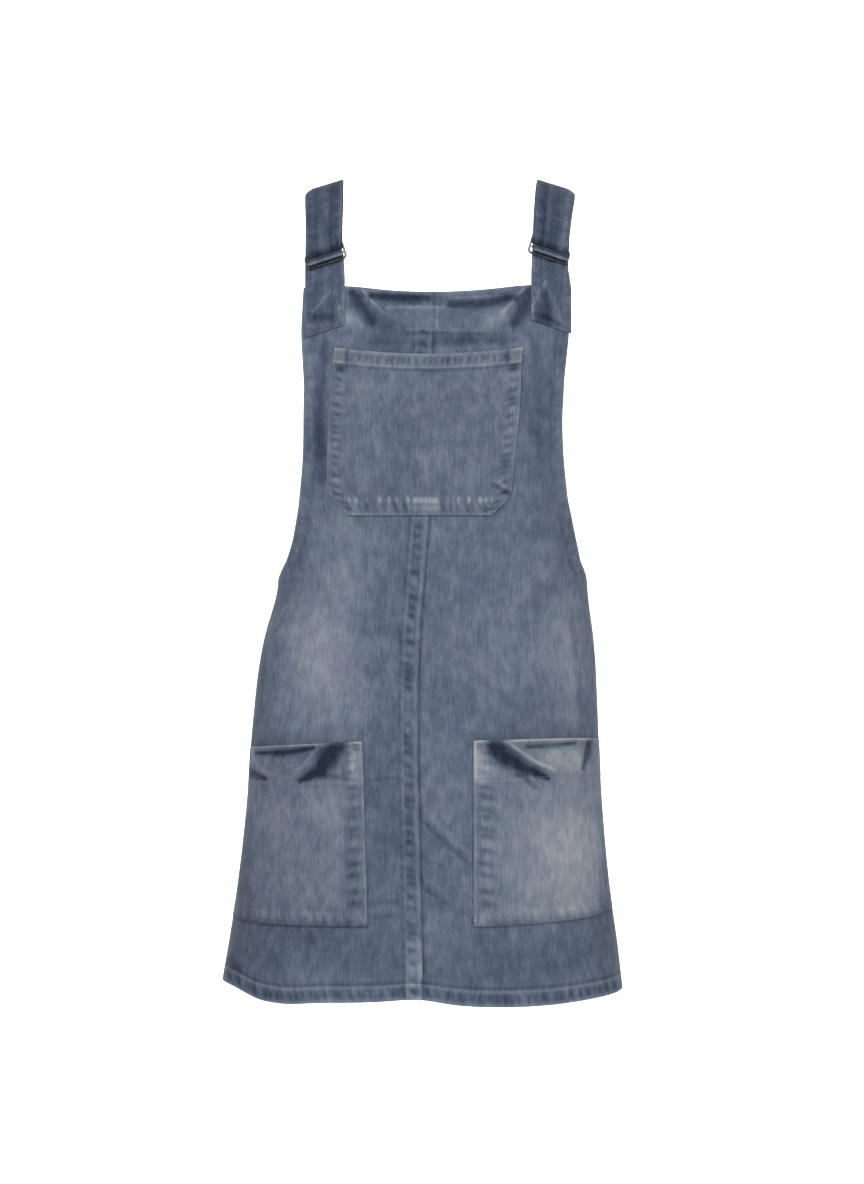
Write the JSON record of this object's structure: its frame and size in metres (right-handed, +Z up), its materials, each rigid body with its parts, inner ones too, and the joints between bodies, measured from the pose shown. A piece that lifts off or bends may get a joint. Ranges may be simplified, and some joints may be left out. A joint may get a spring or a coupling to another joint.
{
  "type": "denim dungaree dress, worn form",
  "caption": "Sleeveless denim dungaree dress with a bib pocket, hip pockets and adjustable straps, in its hollow worn form.",
  "frame": {"origin": "midway between the two shoulder straps, level with their undersides where they cross the shoulders", "axes": "+Z up along the wearer's height, +Y towards the wearer's back, +X towards the wearer's left arm"},
  "size_m": [0.421, 0.2804, 0.8468],
  "materials": {
    "denim": "matte",
    "denim_pocket": "matte",
    "denim_dark": "matte",
    "slider_metal": "antique"
  },
  "bodies": {
    "root": {"front_panel_left": "denim", "front_panel_right": "denim", "back_panel": "denim", "bib_pocket": "denim_pocket", "hip_pocket_left": "denim_pocket", "hip_pocket_right": "denim_pocket", "shoulder_strap_left": "denim_dark", "shoulder_strap_right": "denim_dark", "strap_tab_left": "denim_dark", "strap_tab_right": "denim_dark", "slider_left": "slider_metal", "slider_right": "slider_metal"}
  },
  "joints": []
}
